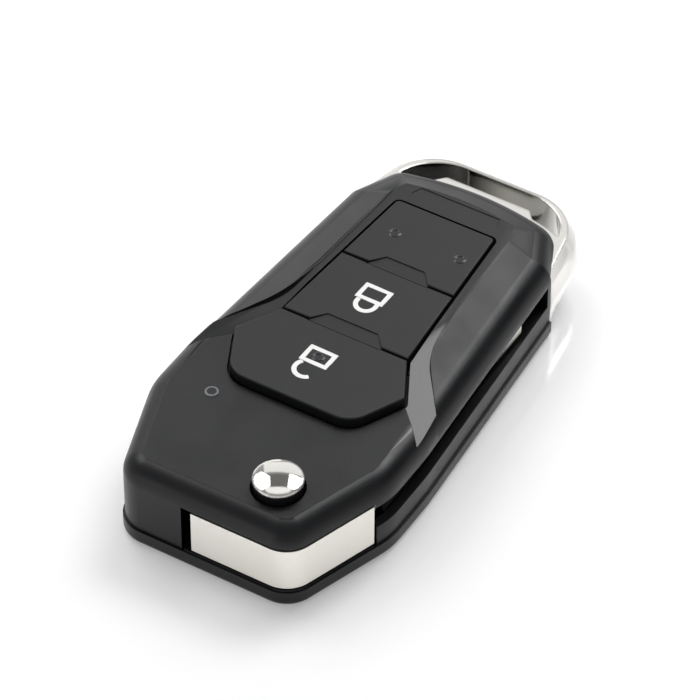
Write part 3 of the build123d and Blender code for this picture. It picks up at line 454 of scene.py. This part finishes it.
def add_block(middle, size):
    """Adds a flat rectangle to the piece that is being edited, and leaves only that selected."""
    place = (middle[0] * MM, middle[1] * MM, CAP_TOP)
    bpy.ops.mesh.select_all(action="DESELECT")
    bpy.ops.mesh.primitive_plane_add(size=MM, location=place)
    bpy.ops.transform.resize(value=(size[0], size[1], 1), center_override=place)


def sweep(piece, bow, row_y, degrees_round):
    """Spins the end of the left leg, whose vertices lie at a row, round the bow's middle."""
    same_row, from_middle = 0.004, 0.5
    select_where(piece, lambda p: abs(p.y - row_y) < same_row and p.x < bow[0] - from_middle)
    bpy.ops.mesh.spin(
        steps=28, angle=radians(degrees_round), center=(bow[0] * MM, bow[1] * MM, CAP_TOP), axis=(0, 0, 1))


def print_padlock(name, body, middle, size, bow, bow_r, open_bow):
    """Prints a padlock on a cap: a rounded frame for its body, and a bow with two legs or an open one.

    The body's middle and size and the bow's middle and radius are in mm.
    """
    stroke, corner_r, film_depth = 0.72, 0.22, 0.02
    round_to_body, round_to_tip, half_round = 44, -136, -180
    same_place, nearly_half = 0.01, 0.49
    leg = 0.02 if open_bow else middle[1] - size[1] / 2 - bow[1]
    bpy.ops.mesh.primitive_plane_add(size=MM, location=(middle[0] * MM, middle[1] * MM, CAP_TOP))
    piece = new_piece(name, pad_print, body)
    edit(piece)
    bpy.ops.mesh.select_all(action="SELECT")
    bpy.ops.transform.resize(value=(size[0], size[1], 1), center_override=piece.location)
    bpy.ops.mesh.inset(thickness=stroke * MM)
    bpy.ops.mesh.delete(type="FACE")
    select_where(piece, lambda p: min(
        abs(p.x - middle[0]) - size[0] / 2, abs(p.y - middle[1]) - size[1] / 2) > -same_place)
    bpy.ops.mesh.bevel(offset=corner_r * MM, segments=4, affect="VERTICES")
    add_block((bow[0] - bow_r + stroke / 2, bow[1] + leg / 2), (stroke, leg))
    if open_bow:
        sweep(piece, bow, bow[1] + leg, round_to_body)
        sweep(piece, bow, bow[1], round_to_tip)
        bpy.ops.mesh.bevel(offset=stroke * nearly_half * MM, segments=6, affect="VERTICES")
    else:
        sweep(piece, bow, bow[1], half_round)
        bpy.ops.mesh.extrude_region_move(TRANSFORM_OT_translate={"value": (0, leg * MM, 0)})
    bpy.ops.object.mode_set(mode="OBJECT")
    film = piece.modifiers.new("film", "SOLIDIFY")
    film.thickness = film_depth * MM
    film.offset = 1
    bpy.ops.object.modifier_apply(modifier="film")
    bpy.ops.object.transform_apply(location=True, rotation=True, scale=True)


def mould_pips(places):
    """Moulds the small craters that mark the caps for the fingers: one is made and the others are copies.

    Each place is x and y in mm and the body that it rides on.
    """
    outer_r_mm, floor_ring_mm = 0.95, 0.1
    rings_and_rises_mm = ((0.16, 0.07), (0.1, 0.03), (0.1, -0.03), (0.16, -0.12), (0.16, -0.06))
    first = places[0]
    bpy.ops.mesh.primitive_circle_add(
        vertices=36, radius=outer_r_mm * MM, fill_type="NGON",
        location=(first[0] * MM, first[1] * MM, CAP_TOP))
    piece = new_piece("cap_pip_1", pip_plastic, first[2])
    edit(piece)
    bpy.ops.mesh.select_all(action="SELECT")
    for ring, rise in rings_and_rises_mm:
        bpy.ops.mesh.inset(thickness=ring * MM, depth=rise * MM)
    bpy.ops.mesh.inset(thickness=floor_ring_mm * MM)
    bpy.ops.object.mode_set(mode="OBJECT")
    bpy.ops.object.shade_smooth()
    bpy.ops.object.transform_apply(location=True, rotation=True, scale=True)
    for number, place in enumerate(places[1:], 2):
        bpy.ops.object.select_all(action="DESELECT")
        piece.select_set(True)
        bpy.context.view_layer.objects.active = piece
        bpy.ops.object.duplicate(linked=False)
        copy = bpy.context.object
        copy.name = f"cap_pip_{number}"
        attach(copy, place[2])
        bpy.ops.transform.translate(value=((place[0] - first[0]) * MM, (place[1] - first[1]) * MM, 0))
        bpy.ops.object.transform_apply(location=True, rotation=True, scale=True)


print_padlock(
    "closed_padlock_print", "lock",
    middle=(-0.55, 5.53), size=(4.6, 3.35), bow=(-0.55, 3.3), bow_r=1.85, open_bow=False)
print_padlock(
    "open_padlock_print", "unlock",
    middle=(-0.57, -9.33), size=(4.55, 3.45), bow=(-0.85, -12.25), bow_r=2.0, open_bow=True)
mould_pips([(-4.67, 18.1, "case"), (6.0, 18.1, "case"), (-0.58, -9.33, "unlock")])
bpy.ops.object.select_all(action="DESELECT")


# Floor, backdrop and light
def lay_floor():
    """Adds a pale glossy floor that shows nearly white to the camera and keeps the object's shadow."""
    extra_light = 0.23
    bpy.ops.mesh.primitive_plane_add(size=6)
    floor = bpy.context.object
    floor.name = "floor"
    material, tree, shader, _ = start_finish("pale_acrylic_floor", "#EBEBEC", 0.11)
    path = add_node(tree, "ShaderNodeLightPath")
    seen = add_node(tree, "ShaderNodeMath", {
        0: path.outputs["Is Camera Ray"], 1: path.outputs["Is Glossy Ray"]}, operation="MAXIMUM")
    level = add_node(tree, "ShaderNodeMath", {0: seen.outputs[0], 1: extra_light}, operation="MULTIPLY")
    shader.inputs["Emission Color"].default_value = (1, 1, 1, 1)
    tree.links.new(level.outputs[0], shader.inputs["Emission Strength"])
    floor.data.materials.append(material)


def add_softbox(name, place, size, brightness, aim=(0, 0, 0.01)):
    """Adds a soft lamp of a given size and brightness that looks at the object. Brightness 1 is white."""
    light = bpy.data.lights.new(name, "AREA")
    light.shape = "RECTANGLE"
    light.size, light.size_y = size
    light.energy = brightness * pi * size[0] * size[1]
    lamp = bpy.data.objects.new(name, light)
    lamp.location = place
    lamp.rotation_euler = (Vector(aim) - Vector(place)).to_track_quat("-Z", "Y").to_euler()
    lamp.visible_camera = False
    bpy.context.scene.collection.objects.link(lamp)


def add_flag(name, place, size, brightness, aim=(0.007, -0.032, 0.016)):
    """Adds a grey card that only reflections see, with no light or shadow of its own on the object."""
    towards = (Vector(aim) - Vector(place)).to_track_quat("-Z", "Y").to_euler()
    bpy.ops.mesh.primitive_plane_add(size=1, location=place, rotation=towards)
    card = bpy.context.object
    card.name = name
    card.scale = (size[0], size[1], 1)
    material = bpy.data.materials.new(name)
    material.use_nodes = True
    shader = material.node_tree.nodes["Principled BSDF"]
    shader.inputs["Base Color"].default_value = linear("#000000")
    shader.inputs["Emission Color"].default_value = (1, 1, 1, 1)
    shader.inputs["Emission Strength"].default_value = brightness
    card.data.materials.append(material)
    card.visible_camera = card.visible_diffuse = card.visible_shadow = False


def light_studio():
    """Adds a pale surround, darker towards the ceiling and in one round patch, and the lamps and cards."""
    patch_towards = (0.625, 0.625, 0.469)
    world = bpy.data.worlds.new("studio")
    world.use_nodes = True
    tree = world.node_tree
    ground = tree.nodes["Background"]
    ground.inputs["Color"].default_value = linear("#F7F7F8")
    path = add_node(tree, "ShaderNodeLightPath")
    look = add_node(tree, "ShaderNodeTexCoord")
    parts = add_node(tree, "ShaderNodeSeparateXYZ", {"Vector": look.outputs["Generated"]})
    height = add_node(tree, "ShaderNodeMapRange", {
        "Value": parts.outputs["Z"], "From Min": 0.1, "From Max": 0.7, "To Min": 0.66, "To Max": 0.38})
    aside = add_node(tree, "ShaderNodeVectorMath", {
        0: look.outputs["Generated"], 1: patch_towards}, operation="DOT_PRODUCT")
    dark = add_node(tree, "ShaderNodeMapRange", {
        "Value": aside.outputs["Value"], "From Min": 0.88, "From Max": 0.94, "To Min": 1.0, "To Max": 0.08})
    around = add_node(tree, "ShaderNodeMath", {
        0: height.outputs["Result"], 1: dark.outputs["Result"]}, operation="MULTIPLY")
    level = add_node(tree, "ShaderNodeMix", {
        "Factor": path.outputs["Is Camera Ray"], "A": around.outputs[0], "B": 1.0})
    tree.links.new(level.outputs["Result"], ground.inputs["Strength"])
    bpy.context.scene.world = world
    add_softbox("back_softbox", (-0.08, 0.80, 1.08), (0.45, 0.45), 7.5)
    add_softbox("left_softbox", (-0.7, 0.25, 0.9), (0.7, 0.5), 3.6)
    add_softbox("left_card", (-0.6, 0.53, 0.2), (0.5, 0.2), 1.5)
    add_softbox("overhead_softbox", (-0.2, 0.3, 1.0), (0.5, 0.4), 0.9)
    add_softbox("right_softbox", (0.2, 0.74, 0.80), (0.4, 0.5), 4.4)
    add_softbox("rear_panel", (-0.102, 0.252, 0.196), (0.26, 0.12), 0.72, aim=(0, 0.036, 0.011))
    add_softbox("front_card", (-0.25, -0.6, 0.15), (0.4, 0.2), 0.9)
    add_flag("button_flag", (-0.068, 0.095, 0.220), (0.08, 0.09), 0.16)


place_camera()
lay_floor()
light_studio()
bpy.context.scene.view_settings.view_transform = "Standard"
